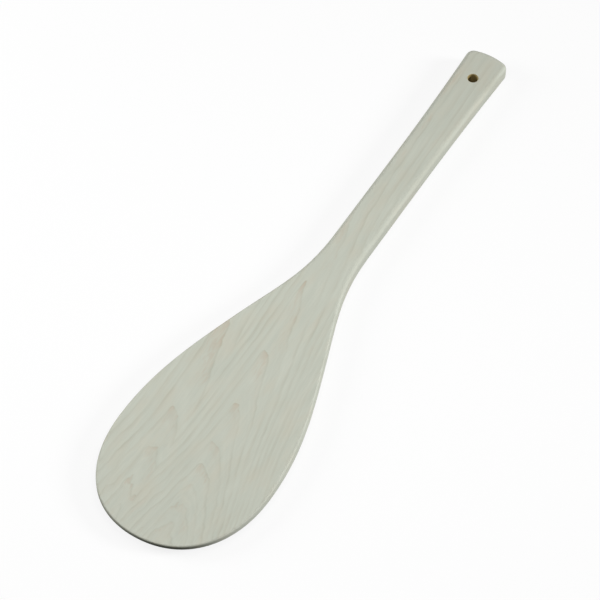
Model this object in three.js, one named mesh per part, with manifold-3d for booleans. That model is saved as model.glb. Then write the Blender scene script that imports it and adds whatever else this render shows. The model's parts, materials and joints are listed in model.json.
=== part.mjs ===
// A flat wooden serving paddle, carved from one board of pale softwood: an egg-shaped blade that thins
// towards its tip, a drawn-in neck, and a straight handle that flares a little towards an arched end with a
// hanging hole.
// Millimetres, +Z up. The paddle lies on its back, with the tip towards -Y and the handle towards +Y. The
// origin is on the surface that it lies on, under the middle of its length.
import * as THREE from "three";
import { mergeVertices } from "three/addons/utils/BufferGeometryUtils.js";
import Module from "manifold-3d";

// The outline. Places along the board are measured from the tip, slopes in degrees from the board's length.
const LENGTH = 390;
const BLADE_WIDTH = 98.3;
const TIP_TO_WIDEST = 59;
const SHOULDER_WIDTH = 57.3;
const TIP_TO_SHOULDER = 151;
const SHOULDER_SLOPE = 19.1;
const NECK_WIDTH = 23.2;
const TIP_TO_NECK = 227;
const END_WIDTH = 27;
const END_FLARE = 2.1;
const END_ARCH_RADIUS = 38;
const END_CORNER_RADIUS = 5;

// How far each curve's handles reach: as a share of the blade's half width and depth at the tip, where an
// ellipse has 0.55, and elsewhere as a share of the straight distance between the curve's ends.
const TIP_REACH = 0.61;
const BLADE_SIDE_REACH = 0.36;
const NECK_REACH = 0.41;
const HANDLE_REACH = 0.4;

// The thickness. Both faces are flat from the handle to where the blade starts to thin, and then close in
// alike: half way to the tip, a taper curve of 1 has half of the thinning and a larger one has less.
const HANDLE_THICKNESS = 11;
const TIP_THICKNESS = 3.1;
const TAPER_LENGTH = 150;
const TAPER_CURVE = 1.1;

// The rounding of the edges, which leaves a flat band of the side between the upper and the lower one. It is
// full in the hand and fades along the neck, so that the blade keeps a crisp edge all round.
const HANDLE_EDGE_RADIUS = 3;
const BLADE_EDGE_RADIUS = 1.1;
const LARGEST_ROUNDED_SHARE = 0.45;

// The hanging hole, with its rims eased.
const HOLE_DIAMETER = 6.2;
const END_TO_HOLE = 22.1;
const HOLE_EASING = 0.5;

// How finely the curves are divided.
const LONGEST_STEP = 11;
const LARGEST_TURN = THREE.MathUtils.degToRad(5);
const EDGE_STEPS = 5;
const HOLE_SIDES = 32;
const WELD_DISTANCE = 0.01;

const TIP_Y = -LENGTH / 2;
const END_Y = LENGTH / 2;
const MIDDLE_Z = HANDLE_THICKNESS / 2;

const wasm = await Module();
wasm.setup();

const pointAt = (width, fromTip) => new THREE.Vector2(width / 2, TIP_Y + fromTip);

// The direction that leans outwards by a slope from the board's length.
function heading(slope) {
  const lean = THREE.MathUtils.degToRad(slope);
  return new THREE.Vector2(Math.sin(lean), Math.cos(lean));
}

// A curve between two points that leaves and arrives along given directions.
function sweep(from, leaving, leavingReach, to, arriving, arrivingReach) {
  const first = from.clone().addScaledVector(leaving, leavingReach);
  const second = to.clone().addScaledVector(arriving, -arrivingReach);
  return new THREE.CubicBezierCurve(from, first, second, to);
}

function evenSweep(from, leaving, to, arriving, share) {
  const reach = share * from.distanceTo(to);
  return sweep(from, leaving, reach, to, arriving, reach);
}

// The rounded corner between the flared side and the end arch: a circle that touches both from inside.
function endCorner(flareWay) {
  const archCentre = new THREE.Vector2(0, END_Y - END_ARCH_RADIUS);
  const sharpCorner = new THREE.Vector2(END_WIDTH / 2, 0);
  sharpCorner.y = archCentre.y + Math.sqrt(END_ARCH_RADIUS ** 2 - sharpCorner.x ** 2);
  const outward = new THREE.Vector2(flareWay.y, -flareWay.x);
  const inset = sharpCorner.addScaledVector(outward, -END_CORNER_RADIUS).sub(archCentre);
  const along = inset.dot(flareWay);
  const excess = inset.lengthSq() - (END_ARCH_RADIUS - END_CORNER_RADIUS) ** 2;
  const centre = inset.addScaledVector(flareWay, Math.sqrt(along ** 2 - excess) - along).add(archCentre);
  const start = centre.clone().addScaledVector(outward, END_CORNER_RADIUS);
  const startAngle = outward.angle() - 2 * Math.PI;
  const archAngle = centre.clone().sub(archCentre).angle();
  return { archCentre, centre, start, startAngle, archAngle };
}

// The outline's right half, from the middle of the tip to the middle of the handle's end.
function halfOutline() {
  const tip = pointAt(0, 0);
  const widest = pointAt(BLADE_WIDTH, TIP_TO_WIDEST);
  const shoulder = pointAt(SHOULDER_WIDTH, TIP_TO_SHOULDER);
  const neck = pointAt(NECK_WIDTH, TIP_TO_NECK);
  const across = heading(90);
  const lengthwise = heading(0);
  const shoulderWay = heading(-SHOULDER_SLOPE);
  const flareWay = heading(END_FLARE);
  const corner = endCorner(flareWay);
  const { centre, archCentre } = corner;
  const tipReach = (TIP_REACH * BLADE_WIDTH) / 2;
  const tipRise = TIP_REACH * TIP_TO_WIDEST;
  return [
    sweep(tip, across, tipReach, widest, lengthwise, tipRise),
    evenSweep(widest, lengthwise, shoulder, shoulderWay, BLADE_SIDE_REACH),
    evenSweep(shoulder, shoulderWay, neck, lengthwise, NECK_REACH),
    evenSweep(neck, lengthwise, corner.start, flareWay, HANDLE_REACH),
    new THREE.ArcCurve(centre.x, centre.y, END_CORNER_RADIUS, corner.startAngle, corner.archAngle),
    new THREE.ArcCurve(archCentre.x, archCentre.y, END_ARCH_RADIUS, corner.archAngle, Math.PI / 2),
  ];
}

// Points along a row of curves, each with the direction that faces out of the board.
function stationsAlong(curves) {
  const stations = [];
  for (const curve of curves) {
    const turn = curve.getTangentAt(0).angleTo(curve.getTangentAt(1));
    const steps = Math.ceil(Math.max(curve.getLength() / LONGEST_STEP, turn / LARGEST_TURN));
    const firstStep = stations.length > 0 ? 1 : 0;
    for (let step = firstStep; step <= steps; step += 1) {
      const tangent = curve.getTangentAt(step / steps);
      const outward = new THREE.Vector2(tangent.y, -tangent.x);
      stations.push({ point: curve.getPointAt(step / steps), outward });
    }
  }
  return stations;
}

// How far the blade has thinned at a place along the board: 0 on the handle, 1 at the tip.
function thinningAt(y) {
  const past = Math.max(0, TIP_Y + TAPER_LENGTH - y);
  return (past / TAPER_LENGTH) ** TAPER_CURVE;
}

// The radius that the edges are rounded to at a place along the board: it grows from the shoulder to the neck.
function roundingAt(y) {
  const handled = THREE.MathUtils.smoothstep(y, TIP_Y + TIP_TO_SHOULDER, TIP_Y + TIP_TO_NECK);
  return THREE.MathUtils.lerp(BLADE_EDGE_RADIUS, HANDLE_EDGE_RADIUS, handled);
}

// One edge of the board, from the upper face round to the lower one.
function edgeSection({ point, outward }) {
  const thickness = THREE.MathUtils.lerp(HANDLE_THICKNESS, TIP_THICKNESS, thinningAt(point.y));
  const radius = Math.min(roundingAt(point.y), LARGEST_ROUNDED_SHARE * thickness);
  const section = [];
  for (const half of [1, -1]) {
    for (let step = 0; step <= EDGE_STEPS; step += 1) {
      const turned = half > 0 ? 1 - step / EDGE_STEPS : -step / EDGE_STEPS;
      const angle = (turned * Math.PI) / 2;
      const place = point.clone().addScaledVector(outward, radius * (Math.cos(angle) - 1));
      const height = half * (thickness / 2 - radius) + radius * Math.sin(angle);
      section.push([place.x, place.y, MIDDLE_Z + height]);
    }
  }
  return section;
}

// The board: a closed section at each station, from the right edge to its mirror image on the left, and a
// skin from each section to the next. The first and the last section fold flat onto the middle line.
function boardGeometry() {
  const sections = stationsAlong(halfOutline()).map((station) => {
    const right = edgeSection(station);
    const left = right.map(([x, y, z]) => [-x, y, z]).reverse();
    return [...right, ...left];
  });
  const corners = [];
  for (let row = 1; row < sections.length; row += 1) {
    const [before, after] = [sections[row - 1], sections[row]];
    for (let place = 0; place < before.length; place += 1) {
      const next = (place + 1) % before.length;
      corners.push(before[place], before[next], after[next]);
      corners.push(before[place], after[next], after[place]);
    }
  }
  const geometry = new THREE.BufferGeometry();
  return geometry.setAttribute("position", new THREE.Float32BufferAttribute(corners.flat(), 3));
}

// What the drill and the countersink take away: a spool that opens out past both faces.
function holeGeometry() {
  const radius = HOLE_DIAMETER / 2;
  const mouth = radius + 2 * HOLE_EASING;
  const profile = [
    new THREE.Vector2(0, -HOLE_EASING),
    new THREE.Vector2(mouth, -HOLE_EASING),
    new THREE.Vector2(radius, HOLE_EASING),
    new THREE.Vector2(radius, HANDLE_THICKNESS - HOLE_EASING),
    new THREE.Vector2(mouth, HANDLE_THICKNESS + HOLE_EASING),
    new THREE.Vector2(0, HANDLE_THICKNESS + HOLE_EASING),
  ];
  const spool = new THREE.LatheGeometry(profile, HOLE_SIDES);
  return spool.rotateX(Math.PI / 2).translate(0, END_Y - END_TO_HOLE, 0);
}

// A solid from a closed geometry, with shared corners merged and collapsed triangles left out.
function solidFrom(geometry) {
  geometry.deleteAttribute("normal");
  geometry.deleteAttribute("uv");
  const welded = mergeVertices(geometry, WELD_DISTANCE);
  const indices = welded.getIndex().array;
  const kept = [];
  for (let start = 0; start < indices.length; start += 3) {
    const triangle = indices.slice(start, start + 3);
    if (new Set(triangle).size === 3) kept.push(...triangle);
  }
  const vertProperties = welded.getAttribute("position").array;
  const mesh = new wasm.Mesh({ numProp: 3, vertProperties, triVerts: new Uint32Array(kept) });
  return new wasm.Manifold(mesh);
}

function geometryFrom(solid) {
  const { vertProperties, triVerts } = solid.getMesh();
  const geometry = new THREE.BufferGeometry();
  geometry.setAttribute("position", new THREE.BufferAttribute(vertProperties, 3));
  geometry.setIndex(new THREE.BufferAttribute(triVerts, 1));
  geometry.computeVertexNormals();
  return geometry;
}

const paleWood = new THREE.MeshStandardMaterial({ color: 0xc2c4b6, roughness: 0.5, metalness: 0 });

const boredBoard = solidFrom(boardGeometry()).subtract(solidFrom(holeGeometry()));
const paddle = new THREE.Mesh(geometryFrom(boredBoard), paleWood);
paddle.name = "paddle";

const object = new THREE.Group();
object.add(paddle);

export default object;
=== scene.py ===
# %% [markdown]
# A flat wooden serving paddle, carved from one board of pale softwood. This lesson builds its surface
# as numpy arrays, cuts nothing by boolean, and dresses it in wood whose growth rings run through the
# whole board, so that the faces, the rounded edges and the inside of the hanging hole all show the same
# tree.

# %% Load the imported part
import json
import math

import bmesh
import bpy
import numpy as np
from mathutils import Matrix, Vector


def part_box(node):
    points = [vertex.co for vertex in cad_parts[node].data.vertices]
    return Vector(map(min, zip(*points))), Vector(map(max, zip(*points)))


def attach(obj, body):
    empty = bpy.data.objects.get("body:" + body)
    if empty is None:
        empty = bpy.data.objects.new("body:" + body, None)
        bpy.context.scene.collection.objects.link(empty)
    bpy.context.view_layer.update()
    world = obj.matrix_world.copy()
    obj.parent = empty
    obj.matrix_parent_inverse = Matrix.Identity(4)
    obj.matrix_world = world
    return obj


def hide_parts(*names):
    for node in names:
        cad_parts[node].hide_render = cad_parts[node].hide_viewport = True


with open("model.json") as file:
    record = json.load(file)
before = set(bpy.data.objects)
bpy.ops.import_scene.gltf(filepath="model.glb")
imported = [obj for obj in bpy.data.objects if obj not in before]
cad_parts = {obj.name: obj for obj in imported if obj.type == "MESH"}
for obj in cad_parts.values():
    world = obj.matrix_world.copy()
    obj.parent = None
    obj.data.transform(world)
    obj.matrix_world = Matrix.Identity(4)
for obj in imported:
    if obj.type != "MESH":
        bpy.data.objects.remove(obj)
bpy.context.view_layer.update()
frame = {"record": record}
MM = 0.001

# %% [markdown]
# The camera stands in front of the blade's tip, to its right, and looks down. A long lens from a
# distance keeps the handle's far end almost as large as the blade. The place and the lens follow from
# the outline as it is seen in the picture; aiming at a point on the table frames it, so that the lens
# needs no shift.

# %% Camera
AZIMUTH = math.radians(31.58)
ELEVATION = math.radians(55.23)
CAMERA_DISTANCE = 1.6
LENS_MM = 167.8
AIM = Vector((-7.5, -13.1, 0.0)) * MM

towards_camera = Vector((
    math.sin(AZIMUTH) * math.cos(ELEVATION),
    -math.cos(AZIMUTH) * math.cos(ELEVATION),
    math.sin(ELEVATION),
))
camera = bpy.data.objects.new("camera", bpy.data.cameras.new("camera"))
camera.data.lens = LENS_MM
camera.location = AIM + CAMERA_DISTANCE * towards_camera
camera.rotation_euler = (-towards_camera).to_track_quat("-Z", "Y").to_euler()
bpy.context.collection.objects.link(camera)
bpy.context.scene.camera = camera
print("camera at", [round(place, 3) for place in camera.location])

# %% [markdown]
# The outline is symmetric, so only its right half is described, from the middle of the tip to the
# middle of the handle's end: four smooth curves and two arcs. The overall sizes come from the packed
# part. The other sizes are measured from the tip, in millimetres, as on a drawing.

# %% Sizes
box_low, box_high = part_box("paddle")
LENGTH, BLADE_WIDTH, HANDLE_THICKNESS = (
    (box_high.y - box_low.y) / MM,
    (box_high.x - box_low.x) / MM,
    (box_high.z - box_low.z) / MM,
)
TIP_TO_WIDEST = 59.0
SHOULDER_WIDTH = 57.3
TIP_TO_SHOULDER = 151.0
SHOULDER_SLOPE = math.radians(19.1)
NECK_WIDTH = 23.2
TIP_TO_NECK = 227.0
END_WIDTH = 27.0
END_FLARE = math.radians(2.1)
END_ARCH_RADIUS = 38.0
END_CORNER_RADIUS = 5.0
TIP_REACH, BLADE_SIDE_REACH, NECK_REACH, HANDLE_REACH = 0.61, 0.36, 0.41, 0.40

TIP_THICKNESS = 3.1
TAPER_LENGTH = 150.0
TAPER_CURVE = 1.1
HANDLE_EDGE_RADIUS = 3.0
BLADE_EDGE_RADIUS = 1.1

opening_low, opening_high = np.array(frame["record"]["physics"]["openings"][0]["box_m"]) / MM
HOLE_X, HOLE_Y = ((opening_low + opening_high) / 2)[:2]
HOLE_RADIUS = 3.1
HOLE_EASING = 0.5
TIP_Y, END_Y, MIDDLE_Z = box_low.y / MM, box_high.y / MM, (box_low.z + box_high.z) / 2 / MM
print(f"board {LENGTH:.1f} x {BLADE_WIDTH:.1f} x {HANDLE_THICKNESS:.1f} mm, hole at y = {HOLE_Y:.2f} mm")

# %% [markdown]
# A drawing package would hold these curves as Bezier splines and arcs, and so do we: each helper
# returns points and unit tangents as whole arrays. The outward direction, which the edge's rounding
# needs, is the tangent turned by a right angle.

# %% Curves of the outline


def heading(slope):
    """The unit direction that leans outwards by a slope from the board's length."""
    return np.array([math.sin(slope), math.cos(slope)])


def bezier(first, second, third, fourth, steps):
    """Cubic curve and unit tangents: the points mixed by s^3, 3ts^2, 3t^2s and t^3, s being 1 - t."""
    t = np.linspace(0, 1, steps + 1)[:, None]
    s = 1 - t
    points = s**3 * first + 3 * t * s**2 * second + 3 * t**2 * s * third + t**3 * fourth
    slopes = s**2 * (second - first) + 2 * t * s * (third - second) + t**2 * (fourth - third)
    return points, slopes / np.linalg.norm(slopes, axis=1, keepdims=True)


def sweep(start, leaving, leaving_reach, end, arriving, arriving_reach, steps):
    """Bezier curve that leaves and arrives along given directions."""
    return bezier(start, start + leaving_reach * leaving, end - arriving_reach * arriving, end, steps)


def arc(centre, radius, from_angle, to_angle, steps):
    """Circle arc: centre plus radius times (cos, sin) of even angles, with its unit tangents."""
    angles = np.linspace(from_angle, to_angle, steps + 1)
    spokes = np.stack([np.cos(angles), np.sin(angles)], axis=1)
    tangents = np.stack([-np.sin(angles), np.cos(angles)], axis=1)
    return centre + radius * spokes, tangents


# %% [markdown]
# The half outline joins six stretches end to end. The only one that has to be solved for is the rounded
# corner at the handle's end: a circle that touches the flared side and the end's arch from inside,
# found with one square root. Each stretch gets as many steps as its bending needs.

# %% Half outline


def end_corner():
    """The end arch's centre; centre and two angles of the circle that touches side and arch inside."""
    arch_centre = np.array([0.0, END_Y - END_ARCH_RADIUS])
    half_end = END_WIDTH / 2
    sharp_corner = np.array([half_end, arch_centre[1] + math.sqrt(END_ARCH_RADIUS**2 - half_end**2)])
    flare_way = heading(END_FLARE)
    outward = np.array([flare_way[1], -flare_way[0]])
    inset = sharp_corner - END_CORNER_RADIUS * outward - arch_centre
    along = inset @ flare_way
    excess = inset @ inset - (END_ARCH_RADIUS - END_CORNER_RADIUS) ** 2
    offset = inset + (math.sqrt(along**2 - excess) - along) * flare_way
    return arch_centre, arch_centre + offset, -END_FLARE, math.atan2(offset[1], offset[0])


def half_outline(tip=56, blade=36, neck=34, handle=96, corner=14, arch=10):
    """Points and outward directions from the tip to the handle's end, with steps for each stretch."""
    tip_point = np.array([0.0, TIP_Y])
    widest = np.array([BLADE_WIDTH / 2, TIP_Y + TIP_TO_WIDEST])
    shoulder = np.array([SHOULDER_WIDTH / 2, TIP_Y + TIP_TO_SHOULDER])
    narrowest = np.array([NECK_WIDTH / 2, TIP_Y + TIP_TO_NECK])
    across, lengthwise = np.array([1.0, 0.0]), np.array([0.0, 1.0])
    shoulder_way, flare_way = heading(-SHOULDER_SLOPE), heading(END_FLARE)
    arch_centre, corner_centre, corner_start, arch_start = end_corner()
    corner_way = np.array([math.cos(corner_start), math.sin(corner_start)])
    corner_point = corner_centre + END_CORNER_RADIUS * corner_way
    tip_reach, tip_rise = TIP_REACH * BLADE_WIDTH / 2, TIP_REACH * TIP_TO_WIDEST
    side_reach = BLADE_SIDE_REACH * np.linalg.norm(shoulder - widest)
    neck_reach = NECK_REACH * np.linalg.norm(narrowest - shoulder)
    handle_reach = HANDLE_REACH * np.linalg.norm(corner_point - narrowest)
    stretches = [
        sweep(tip_point, across, tip_reach, widest, lengthwise, tip_rise, tip),
        sweep(widest, lengthwise, side_reach, shoulder, shoulder_way, side_reach, blade),
        sweep(shoulder, shoulder_way, neck_reach, narrowest, lengthwise, neck_reach, neck),
        sweep(narrowest, lengthwise, handle_reach, corner_point, flare_way, handle_reach, handle),
        arc(corner_centre, END_CORNER_RADIUS, corner_start, arch_start, corner),
        arc(arch_centre, END_ARCH_RADIUS, arch_start, math.pi / 2, arch),
    ]
    points = np.concatenate([stretches[0][0]] + [points[1:] for points, _ in stretches[1:]])
    tangents = np.concatenate([stretches[0][1]] + [tangents[1:] for _, tangents in stretches[1:]])
    points[[0, -1], 0] = 0.0
    return points, np.stack([tangents[:, 1], -tangents[:, 0]], axis=1)


outline_points, outward_ways = half_outline()
outward_ways[[0, -1], 0] = 0.0
print(len(outline_points), "stations along the half outline")

# %% [markdown]
# The board is a loft. At each station the edge has an upper and a lower rounding with a flat band
# between. The thickness falls towards the tip, alike on both faces, and the rounding, which is full in
# the hand, fades along the neck and leaves the blade a crisp edge. One row of the grid is the whole
# section: right edge, lower face, left edge, upper face. Everything is computed at once, as arrays of
# rows and columns; a modelling program would call this a loft with two end points.

# %% The lofted board
ROUNDING_STEPS = 10
FACE_COLUMNS = 26


def edge_profile(y):
    """Inset and height of the edge at places y: two quarter circles with a flat band between.

    The thickness loses a power of the way to the tip; the radius grows by an S, 3t^2 - 2t^3, along
    the neck.
    """
    thinning = (np.clip(TIP_Y + TAPER_LENGTH - y, 0, None) / TAPER_LENGTH) ** TAPER_CURVE
    thickness = HANDLE_THICKNESS + (TIP_THICKNESS - HANDLE_THICKNESS) * thinning
    t = np.clip((y - TIP_Y - TIP_TO_SHOULDER) / (TIP_TO_NECK - TIP_TO_SHOULDER), 0, 1)
    radius = BLADE_EDGE_RADIUS + (HANDLE_EDGE_RADIUS - BLADE_EDGE_RADIUS) * (3 * t**2 - 2 * t**3)
    quarter = np.linspace(0, math.pi / 2, ROUNDING_STEPS + 1)
    angles = np.concatenate([quarter[::-1], -quarter])
    halves = np.repeat([1.0, -1.0], ROUNDING_STEPS + 1)
    inset = radius[:, None] * (np.cos(angles) - 1)
    height = halves * (thickness / 2 - radius)[:, None] + radius[:, None] * np.sin(angles)
    return inset, height


def board_grid(points, outward):
    """Rows are stations; columns go once round the section, and crowd at the edges of the faces."""
    inset, height = edge_profile(points[:, 1])
    right = np.stack([
        points[:, :1] + outward[:, :1] * inset,
        points[:, 1:] + outward[:, 1:] * inset,
        MIDDLE_Z + height,
    ], axis=2)
    mirror = np.array([-1.0, 1.0, 1.0])
    across = np.cos(np.linspace(0, math.pi, FACE_COLUMNS + 1))[1:-1]
    spread = np.stack([across, np.ones_like(across), np.ones_like(across)], axis=1)
    lower = right[:, -1:, :] * spread
    upper = right[:, :1, :] * spread[::-1]
    return np.concatenate([right, lower, right[:, ::-1] * mirror, upper], axis=1)


grid = board_grid(outline_points, outward_ways)
print("board grid:", grid.shape[0], "rows of", grid.shape[1], "points")

# %% [markdown]
# A boolean cut would leave long thin triangles round the hole, which shade badly. Instead a block of
# cells is left out of both faces, and one more surface fills it: it starts on the block's own border,
# shrinks to a circle, rolls over the eased rim, runs down the bore and comes out the same way on the
# other face.

# %% The hanging hole
HOLE_MARGIN = 2.6
FACE_RINGS = 5
EASING_STEPS = 5
BORE_STEPS = 8

rim_count = 2 * (ROUNDING_STEPS + 1)
upper_start = 2 * rim_count + FACE_COLUMNS - 1
reach = HOLE_RADIUS + HOLE_EASING + HOLE_MARGIN
rows_inside = np.flatnonzero(np.abs(grid[:, 0, 1] - HOLE_Y) < reach)
row_low, row_high = rows_inside[0], rows_inside[-1]
upper_columns = np.arange(upper_start, upper_start + FACE_COLUMNS - 1)
columns_inside = upper_columns[np.abs(grid[row_low, upper_columns, 0] - HOLE_X) < reach]
column_low, column_high = columns_inside[0], columns_inside[-1]


def hole_border():
    """The block's border on the upper face, once round, as rows of x, y and z."""
    rows = np.arange(row_low, row_high + 1)
    columns = np.arange(column_low, column_high + 1)
    return np.concatenate([
        grid[row_low, columns[:-1]],
        grid[rows[:-1], column_high],
        grid[row_high, columns[:0:-1]],
        grid[rows[:0:-1], column_low],
    ])


def hole_surface(border):
    """Rings from border to bore: border and circle mixed, a quarter circle, then straight down."""
    away = border[:, :2] - [HOLE_X, HOLE_Y]
    spokes = away / np.linalg.norm(away, axis=1, keepdims=True)
    mouth = HOLE_RADIUS + HOLE_EASING
    mix = np.linspace(1, 0, FACE_RINGS + 1)[:, None, None]
    flat = mix * away + (1 - mix) * mouth * spokes
    turn = np.linspace(0, math.pi / 2, EASING_STEPS + 1)[1:]
    radii = np.concatenate([mouth - HOLE_EASING * np.sin(turn), np.full(BORE_STEPS // 2, HOLE_RADIUS)])
    half = HANDLE_THICKNESS / 2
    bore = np.linspace(half - HOLE_EASING, 0, BORE_STEPS // 2 + 1)[1:]
    heights = np.concatenate([half - HOLE_EASING * (1 - np.cos(turn)), bore])
    plan = np.concatenate([flat, radii[:, None, None] * spokes]) + [HOLE_X, HOLE_Y]
    height = np.concatenate([np.full(FACE_RINGS + 1, half), heights])
    upper = np.dstack([plan, np.broadcast_to(height[:, None, None], plan.shape[:2] + (1,))])
    lower = upper[-2::-1] * [1.0, 1.0, -1.0]
    return np.concatenate([upper, lower]) + [0.0, 0.0, MIDDLE_Z]


hole_rings = hole_surface(hole_border())
print("hole surface:", hole_rings.shape[0], "rings of", hole_rings.shape[1], "points")

# %% [markdown]
# Both grids become one mesh. Quads join each row to the next and each column to its neighbour, the last
# to the first. The rows at the tip and at the handle's end fold onto single lines, so points that
# coincide are merged afterwards, which also welds the hole to its border.

# %% One closed mesh
CM = 0.01
WELD_DISTANCE = 1e-6


def ring_quads(rows, columns, offset=0):
    """Corner numbers of the quads between neighbouring rows, where the last column joins the first."""
    row, column = np.meshgrid(np.arange(rows - 1), np.arange(columns), indexing="ij")
    beside = (column + 1) % columns
    near, far = row * columns, (row + 1) * columns
    return offset + np.stack([near + column, near + beside, far + beside, far + column], axis=2)


def outside_block(rows, columns):
    """True for the cells that stay: all but the block round the hole, on the upper and lower face."""
    stays = np.ones((rows - 1, columns), dtype=bool)
    stays[row_low:row_high, column_low:column_high] = False
    to_lower = rim_count + FACE_COLUMNS - 2 + upper_start
    stays[row_low:row_high, to_lower - column_high : to_lower - column_low] = False
    return stays


def closed_mesh(name, points, quads):
    """A mesh object from whole arrays, welded, with loose points removed and all faces outward."""
    mesh = bpy.data.meshes.new(name)
    mesh.from_pydata(points * MM, [], quads)
    work = bmesh.new()
    work.from_mesh(mesh)
    bmesh.ops.remove_doubles(work, verts=work.verts, dist=WELD_DISTANCE)
    loose = [vertex for vertex in work.verts if not vertex.link_faces]
    bmesh.ops.delete(work, geom=loose, context="VERTS")
    bmesh.ops.recalc_face_normals(work, faces=work.faces)
    open_edges = sum(not edge.is_manifold for edge in work.edges)
    volume = work.calc_volume() / CM**3
    work.to_mesh(mesh)
    work.free()
    mesh.shade_smooth()
    made = bpy.data.objects.new(name, mesh)
    bpy.context.collection.objects.link(made)
    print(f"{name}: {len(mesh.vertices)} points, {open_edges} open edges, {volume:.1f} cm3")
    return made


board_quads = ring_quads(*grid.shape[:2])[outside_block(*grid.shape[:2])]
hole_quads = ring_quads(*hole_rings.shape[:2], offset=grid.shape[0] * grid.shape[1]).reshape(-1, 4)
all_points = np.concatenate([grid.reshape(-1, 3), hole_rings.reshape(-1, 3)])
paddle = closed_mesh("carved_paddle", all_points, np.concatenate([board_quads, hole_quads]))

# %% [markdown]
# Shader maths is easier to read as Python than as a web of boxes. This small class wraps one number on
# the surface; adding or multiplying two of them adds the Math node that does it.

# %% Shader maths


class Field:
    """A number or vector that changes over the surface: a socket that Python operators work on."""

    def __init__(self, tree, socket):
        self.tree = tree
        self.socket = socket

    def node(self, kind, settings, inputs, output=0):
        """Adds a node, sets its settings first, then fills its sockets with values or links."""
        made = self.tree.nodes.new(kind)
        for setting, value in settings.items():
            setattr(made, setting, value)
        for place, value in inputs.items():
            if isinstance(value, Field):
                self.tree.links.new(value.socket, made.inputs[place])
            else:
                made.inputs[place].default_value = value
        return Field(self.tree, made.outputs[output])

    def math(self, operation, *others):
        return self.node("ShaderNodeMath", {"operation": operation}, dict(enumerate((self, *others))))

    def reflected(self, operation, other):
        return self.node("ShaderNodeMath", {"operation": operation}, {0: other, 1: self})

    def __add__(self, other):
        return self.math("ADD", other)

    def __sub__(self, other):
        return self.math("SUBTRACT", other)

    def __mul__(self, other):
        return self.math("MULTIPLY", other)

    def __truediv__(self, other):
        return self.math("DIVIDE", other)

    def __pow__(self, other):
        return self.math("POWER", other)

    def __rsub__(self, other):
        return self.reflected("SUBTRACT", other)

    __radd__ = __add__
    __rmul__ = __mul__

    def step(self, low, high):
        """0 below low, 1 above high, and a smooth S between; low above high turns it round."""
        limits = {"Value": self, "From Min": low, "From Max": high}
        return self.node("ShaderNodeMapRange", {"interpolation_type": "SMOOTHSTEP"}, limits)

    def past_zero(self, softness):
        """The part above zero, with its corner rounded over so many millimetres."""
        return (self + (self**2 + softness**2).math("SQRT")) * 0.5

    def noise(self, patch, detail=2.0):
        """Smooth noise around 0, with patches of so many millimetres in x, y and z."""
        scales = tuple(1.0 / size for size in patch)
        scaled = self.node("ShaderNodeVectorMath", {"operation": "MULTIPLY"}, {0: self, 1: scales})
        values = {"Vector": scaled, "Scale": 1.0, "Detail": detail}
        return scaled.node("ShaderNodeTexNoise", {}, values) - 0.5

    def moved(self, *offset):
        """This place, moved by so many millimetres in x, y and z."""
        return self.node("ShaderNodeVectorMath", {"operation": "ADD"}, {0: self, 1: offset})

    def parts(self):
        """The three numbers of a vector."""
        split = self.node("ShaderNodeSeparateXYZ", {}, {0: self}).socket.node
        return [Field(self.tree, part) for part in split.outputs]

    def mix(self, first, second):
        """A colour between two others: the first where this field is 0, the second where it is 1."""
        inputs = {0: self, 6: first, 7: second}
        return self.node("ShaderNodeMix", {"data_type": "RGBA"}, inputs, output=2)


def srgb(red, green, blue):
    """A colour written in the 0 to 255 of a picture, as the linear numbers that a shader takes."""
    shares = np.array([red, green, blue]) / 255
    linear = np.where(shares <= 0.04045, shares / 12.92, ((shares + 0.055) / 1.055) ** 2.4)
    return (*linear.tolist(), 1.0)


# %% [markdown]
# The board is flat-sawn: the saw ran past the heart of the trunk, so the rings that it cut show as tall
# arches on the faces and as close lines along the sides. A picture of wood would have to be bent round
# every edge. Here the rings are a function of the place inside the board, as in the tree, and whatever
# surface cuts them shows the right figure. The trunk had two hearts side by side, as below a fork. Each
# gives a ring number: the distance from the heart over a ring's width on its right, a steady slope on
# its left, and a slow rise along the trunk that quickens at the butt. At the far right some lean years
# crowd the rings. The smaller of the two numbers counts, which makes the sharp valleys between the
# arches. Lengths are in millimetres, and rates and rises in rings per millimetre.

# %% Growth rings
RING_WIDTH = 2.19
GRAIN_LEAN = 0.111
CREST_X = 10.2
HEART_DEPTH = 28.4
LEFT_RATE = 0.265
LEAN_YEARS_FROM = 24.0
LEAN_YEARS_RATE = 0.08
SIDE_CREST_GAP = 30.7
SIDE_HEART_DEPTH = 34.2
SIDE_LEFT_RATE = 0.19
SIDE_RINGS = -0.62
TRUNK_RISE = 0.0178
SIDE_TRUNK_SHARE = 0.2
BUTT_RISE = 0.046
SIDE_BUTT_SHARE = 0.64
BUTT_Y = -126.0
BUTT_SOFTNESS = 12.0
STRAIGHT_Y = 49.0
STRAIGHT_SOFTNESS = 30.0
STRAIGHTENING = 0.85
LEAN_YEARS_SOFTNESS = 2.0
CREST_ROUNDING = 1.3
LINE_PHASE = 0.18

SLOW_WANDER = 0.6
SLOW_PATCH = (25, 70, 25)
QUICK_WANDER = 0.45
QUICK_PATCH = (6, 16, 6)
TIP_WAVES = 1.15
TIP_WAVES_START_Y = -130.0
TIP_WAVES_FULL_Y = -185.0
STEEPNESS_STEP = 0.2
LEAST_STEEPNESS = 0.02


def heart_rings(across, z, depth, left_rate):
    """Rings from one heart: root of across^2 + depth^2 on its right, and a steady slope on its left."""
    right = across.past_zero(CREST_ROUNDING)
    left = (-1 * across).past_zero(CREST_ROUNDING)
    return (right**2 + (z + depth) ** 2).math("SQRT") / RING_WIDTH + left_rate * left


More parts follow.
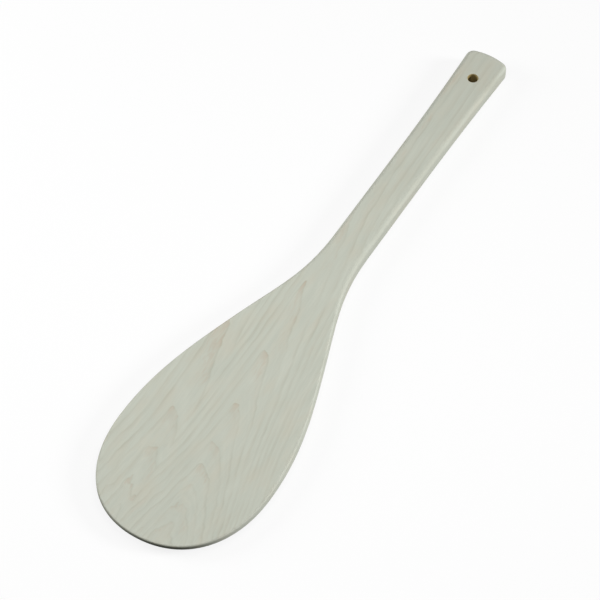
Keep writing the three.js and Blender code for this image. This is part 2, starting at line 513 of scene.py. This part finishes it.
def growth_rings(place):
    """The ring number at a place in millimetres: the smaller of two hearts' numbers, plus a wander."""
    x, y, z = place.parts()
    along = y - STRAIGHTENING * (y - STRAIGHT_Y).past_zero(STRAIGHT_SOFTNESS)
    across = x + GRAIN_LEAN * along + CREST_X
    trunk = TRUNK_RISE * along
    butt = BUTT_RISE * (BUTT_Y - y).past_zero(BUTT_SOFTNESS)
    lean_years = LEAN_YEARS_RATE * (across - LEAN_YEARS_FROM).past_zero(LEAN_YEARS_SOFTNESS)
    middle = heart_rings(across, z, HEART_DEPTH, LEFT_RATE) + lean_years + trunk - butt
    side = heart_rings(across + SIDE_CREST_GAP, z, SIDE_HEART_DEPTH, SIDE_LEFT_RATE) + SIDE_RINGS
    side = side + SIDE_TRUNK_SHARE * trunk - SIDE_BUTT_SHARE * butt
    waviness = QUICK_WANDER + TIP_WAVES * y.step(TIP_WAVES_START_Y, TIP_WAVES_FULL_Y)
    wander = SLOW_WANDER * place.noise(SLOW_PATCH) + waviness * place.noise(QUICK_PATCH)
    return middle.math("MINIMUM", side) + wander + LINE_PHASE


def ring_steepness(place, rings):
    """Rings per millimetre over the faces, from the ring number's change over short steps in x and y."""
    sideways = (growth_rings(place.moved(STEEPNESS_STEP, 0, 0)) - rings) / STEEPNESS_STEP
    lengthwise = (growth_rings(place.moved(0, STEEPNESS_STEP, 0)) - rings) / STEEPNESS_STEP
    return (sideways**2 + lengthwise**2).math("SQRT").math("MAXIMUM", LEAST_STEEPNESS)


# %% [markdown]
# In each year the tree lays down pale early wood and then a thin band of darker late wood, which stops
# sharply. The line is drawn at a steady width in millimetres, the ring number divided by its steepness,
# so that it stays fine at the crest of an arch. A faint warm blush leads up to it, stronger at the
# crests, where the board cuts a year flattest. A noise on the year's number makes some years darker
# than others, narrow years leave a fainter line, and each line fades in and out on its way.

# %% Annual lines
LINE_WIDTH = 1.8
LINE_STOP = 0.6
FIRST_YEAR = 2000
FAINTEST_YEAR = 0.45
WIDE_YEARS = 0.22
NARROW_YEARS = 0.45
NARROW_YEARS_LOSE = 0.4
FADING_LEVEL = 0.62
FADING_SWING = 2.4
FADING_PATCH = (8, 25, 8)
LEAST_FADING = 0.08
BLUSH_SEASON = 0.35
CREST_BLUSH = 4.0
CREST_LENGTH = 14.0
CREST_STEEPNESS = 0.03
FLANK_STEEPNESS = 0.1


def annual_lines(place, rings):
    """The late wood's line and the blush that leads up to it, both stronger in some years."""
    season = rings.math("FRACT")
    steepness = ring_steepness(place, rings)
    line_ahead, line_behind = (1 - season) / steepness, season / steepness
    line = line_ahead.step(LINE_WIDTH, 0.0).math("MAXIMUM", line_behind.step(LINE_STOP, 0.0))
    crest = steepness.step(FLANK_STEEPNESS, CREST_STEEPNESS) * line_ahead.step(CREST_LENGTH, 0.0)
    blush = season.step(BLUSH_SEASON, 1.0) + CREST_BLUSH * crest
    year = FIRST_YEAR + (rings + 0.5).math("FLOOR")
    strength = year.node("ShaderNodeTexWhiteNoise", {"noise_dimensions": "1D"}, {"W": year})
    narrow = steepness.step(WIDE_YEARS, NARROW_YEARS)
    fading = (FADING_LEVEL + FADING_SWING * place.noise(FADING_PATCH)).math("MAXIMUM", LEAST_FADING)
    weight = FAINTEST_YEAR + (1 - FAINTEST_YEAR) * strength
    weight = weight * fading * (1 - NARROW_YEARS_LOSE * narrow)
    return line * weight, blush * weight


# %% [markdown]
# Between the annual lines, finer ones follow the rings, as a noise over the stretched ring number. Fibres
# run along the trunk, and some patches are warmer. A patch is so many millimetres wide in x, y and z, and
# long in y because the trunk's cells are. The cut ends of the fibres, at the tip and at the handle's end,
# are darker: partly the end grain's own colour, and partly painted shade for the dark edge under the tip.
# Each of these mixes some of its own colour into the one before.

# %% Wood colour
PALE_WOOD = srgb(203, 206, 193)
GREY_WOOD = srgb(190, 194, 181)
WARM_WOOD = srgb(201, 197, 180)
LATE_WOOD = srgb(148, 150, 126)
BLUSH = srgb(190, 176, 156)
# The cut ends of the fibres: partly the end grain's own darker colour, partly painted shade on the edge
# under the tip.
END_GRAIN_AND_SHADE = srgb(112, 116, 98)
WARM_SHARE = 0.5
BLUSH_SHARE = 0.16
LINE_SHARE = 0.195
END_GRAIN_AND_SHADE_SHARE = 0.6

FINE_LINE_STRETCH = 10.0
FINE_LINE_PATCH = (2.2, 45, 45)
FINE_LINE_SWING = 0.75
MOTTLE_PATCH = (4, 26, 4)
MOTTLE_SWING = 0.9
FIBRE_SWING = 0.9
WARM_PATCH = (7, 20, 7)
WARM_SWING = 3.2
WARM_LEVEL = 0.15


def wood_colour(place, rings, fibres, line, blush, end_grain_and_shade):
    """Grey to pale wood by fine lines, fibres and mottle; then warmth, blush, lines, and end grain with
    painted shade.
    """
    _, y, z = place.parts()
    grain = rings.node("ShaderNodeCombineXYZ", {}, {0: rings * FINE_LINE_STRETCH, 1: y, 2: z})
    fine_lines = FINE_LINE_SWING * grain.noise(FINE_LINE_PATCH)
    mottle = MOTTLE_SWING * place.noise(MOTTLE_PATCH, detail=3.0)
    warmth = (WARM_LEVEL + WARM_SWING * place.noise(WARM_PATCH)).math("MAXIMUM", 0.0)
    colour = (0.5 + fine_lines + FIBRE_SWING * fibres + mottle).mix(GREY_WOOD, PALE_WOOD)
    colour = (warmth * WARM_SHARE).mix(colour, WARM_WOOD)
    colour = (blush * BLUSH_SHARE).mix(colour, BLUSH)
    colour = (line * LINE_SHARE).mix(colour, LATE_WOOD)
    # Mixes in the dark end grain, which is partly painted shade on the edge under the tip.
    return (end_grain_and_shade * END_GRAIN_AND_SHADE_SHARE).mix(colour, END_GRAIN_AND_SHADE)


# %% [markdown]
# A bare, sanded surface is dull: high roughness, little gloss, a faint relief of lines and fibres, and no
# coat. The cut ends of the fibres are rougher still. In the drilled hole, which no sandpaper reached, the
# fibres are torn: brown, and without any sheen, so that a plain diffuse shader takes over there.

# %% Wood finish
FIBRE_PATCH = (0.5, 30, 0.5)
SIDEWAYS_FACING = 0.4
ENDWAYS_FACING = 0.9
SANDED_ROUGHNESS = 0.72
FIBRE_ROUGHNESS = 0.12
LINE_ROUGHNESS = 0.08
END_GRAIN_ROUGHNESS = 0.2
SANDED_IOR = 1.35
LINE_RELIEF = 0.2
FIBRE_RELIEF = 0.5
RELIEF_STRENGTH = 0.25
RELIEF_DEPTH = 0.05 * MM
DRILLED_WOOD = srgb(162, 145, 99)


def drilled(place):
    """1 on the wall of the hanging hole, and 0 from just outside its eased rim."""
    x, y, _ = place.parts()
    away = ((x - HOLE_X) ** 2 + (y - HOLE_Y) ** 2).math("SQRT")
    return away.step(HOLE_RADIUS + HOLE_EASING, HOLE_RADIUS)


def pale_wood():
    """Colour, roughness and relief of the sanded board, all from the place inside it."""
    material = bpy.data.materials.new("pale_wood")
    material.use_nodes = True
    tree = material.node_tree
    shader = tree.nodes["Principled BSDF"]
    coordinates = tree.nodes.new("ShaderNodeTexCoord")
    place = Field(tree, coordinates.outputs["Object"])
    place = place.node("ShaderNodeVectorMath", {"operation": "SCALE"}, {0: place, "Scale": 1 / MM})
    facing = Field(tree, coordinates.outputs["Normal"])
    # Faces that look along the board, at the tip and the handle's end: end grain, rougher, and darker
    # partly by its own colour, partly by painted shade.
    end_grain_and_shade = facing.parts()[1].math("ABSOLUTE").step(SIDEWAYS_FACING, ENDWAYS_FACING)

    rings = growth_rings(place)
    line, blush = annual_lines(place, rings)
    fibres = place.noise(FIBRE_PATCH, detail=3.0)
    colour = wood_colour(place, rings, fibres, line, blush, end_grain_and_shade)
    roughness = SANDED_ROUGHNESS + FIBRE_ROUGHNESS * fibres + LINE_ROUGHNESS * line
    roughness = roughness + END_GRAIN_ROUGHNESS * end_grain_and_shade
    relief = LINE_RELIEF * line + FIBRE_RELIEF * fibres
    bump_values = {"Height": relief, "Strength": RELIEF_STRENGTH, "Distance": RELIEF_DEPTH}
    bump = relief.node("ShaderNodeBump", {}, bump_values)
    for socket, field in {"Base Color": colour, "Roughness": roughness, "Normal": bump}.items():
        tree.links.new(field.socket, shader.inputs[socket])
    shader.inputs["IOR"].default_value = SANDED_IOR

    sanded = Field(tree, shader.outputs["BSDF"])
    torn = place.node("ShaderNodeBsdfDiffuse", {}, {"Color": DRILLED_WOOD})
    both = place.node("ShaderNodeMixShader", {}, {0: drilled(place), 1: sanded, 2: torn})
    tree.links.new(both.socket, tree.nodes["Material Output"].inputs["Surface"])
    print("pale_wood:", len(tree.nodes), "nodes")
    return material


paddle.data.materials.append(pale_wood())
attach(paddle, "root")
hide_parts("paddle")

# %% [markdown]
# The floor is white where the camera sees it, by mixing in a plain white glow for camera, mirror and
# glass rays only, and it keeps a soft shadow of the paddle. For the light that it throws back on the
# paddle it is a dark grey, so that the white does not wash out the dark edge under the tip.

# %% Floor and background
FLOOR_HALF = 4.0
UNSEEN_FLOOR = (0.12, 0.12, 0.12, 1)
GLOW_SHARE = 0.86
WORLD_LEVEL = 0.04


def seen_directly(field):
    """1 for rays from the camera, a mirror or glass, and 0 for light between surfaces."""
    rays = field.tree.nodes.new("ShaderNodeLightPath").outputs
    camera_ray = Field(field.tree, rays["Is Camera Ray"])
    glossy_ray = Field(field.tree, rays["Is Glossy Ray"])
    glass_ray = Field(field.tree, rays["Is Transmission Ray"])
    return camera_ray.math("MAXIMUM", glossy_ray).math("MAXIMUM", glass_ray)


def white_floor():
    """A square sheet under the paddle, and its material."""
    mesh = bpy.data.meshes.new("floor")
    corners = FLOOR_HALF * np.array([[-1, -1, 0], [1, -1, 0], [1, 1, 0], [-1, 1, 0]])
    mesh.from_pydata(corners, [], [(0, 1, 2, 3)])
    material = bpy.data.materials.new("floor_white")
    material.use_nodes = True
    tree = material.node_tree
    tree.nodes.clear()
    start = Field(tree, None)
    seen = seen_directly(start)
    paint = seen.mix(UNSEEN_FLOOR, (1, 1, 1, 1))
    sheet = start.node("ShaderNodeBsdfDiffuse", {}, {"Color": paint})
    glow = start.node("ShaderNodeEmission", {}, {"Color": (1, 1, 1, 1), "Strength": 1.0})
    both = start.node("ShaderNodeMixShader", {}, {0: GLOW_SHARE * seen, 1: sheet, 2: glow})
    output = tree.nodes.new("ShaderNodeOutputMaterial")
    tree.links.new(both.socket, output.inputs["Surface"])
    mesh.materials.append(material)
    floor = bpy.data.objects.new("floor", mesh)
    bpy.context.collection.objects.link(floor)


def dim_world():
    """White where it is seen, and a dim even fill where it lights the paddle."""
    world = bpy.data.worlds.new("studio")
    world.use_nodes = True
    background = world.node_tree.nodes["Background"]
    level = seen_directly(Field(world.node_tree, None)) * (1 - WORLD_LEVEL) + WORLD_LEVEL
    background.inputs["Color"].default_value = (1, 1, 1, 1)
    world.node_tree.links.new(level.socket, background.inputs["Strength"])
    bpy.context.scene.world = world


white_floor()
dim_world()

# %% [markdown]
# Three softboxes, as in a product studio. The first stands low on the right, towards the handle's end,
# and so far away that the handle's side gets hardly more of it than the blade's. A weaker one faces it
# from the left. The third hangs close over the blade, so that the light fades a little towards both
# ends, and a little to the right, where the left lamp's light is weaker. Nothing stands on the camera's
# side, so the edge under the tip stays dark. Each lamp's power follows from the share of the light that
# it gives to the upper face: with all shares adding up to about one, a colour renders as it is written.

# %% Lamps
LIT_SPOT = Vector((0.0, -60.0, 0.0)) * MM


def softbox(name, azimuth, elevation, distance, size, share):
    """A square lamp that faces the blade and gives a share of full light to a level surface there.

    Full light is an irradiance of pi; a lamp of P watts gives P sin(elevation) / (pi distance^2).
    """
    turn, lift = math.radians(azimuth), math.radians(elevation)
    way = Vector((math.cos(lift) * math.cos(turn), math.cos(lift) * math.sin(turn), math.sin(lift)))
    lamp = bpy.data.lights.new(name, "AREA")
    lamp.size = size
    lamp.energy = share * math.pi**2 * distance**2 / math.sin(lift)
    made = bpy.data.objects.new(name, lamp)
    made.location = LIT_SPOT + distance * way
    made.rotation_euler = way.to_track_quat("Z", "Y").to_euler()
    bpy.context.collection.objects.link(made)
    print(f"{name}: {lamp.energy:.1f} W")


softbox("right_side", azimuth=30, elevation=22, distance=3.5, size=0.9, share=0.335)
softbox("left_side", azimuth=195, elevation=24, distance=1.0, size=0.5, share=0.29)
softbox("overhead", azimuth=15, elevation=81, distance=0.5, size=0.4, share=0.38)

# %% [markdown]
# The plain Standard view shows colours as they are written.

# %% Finish
bpy.context.scene.view_settings.view_transform = "Standard"
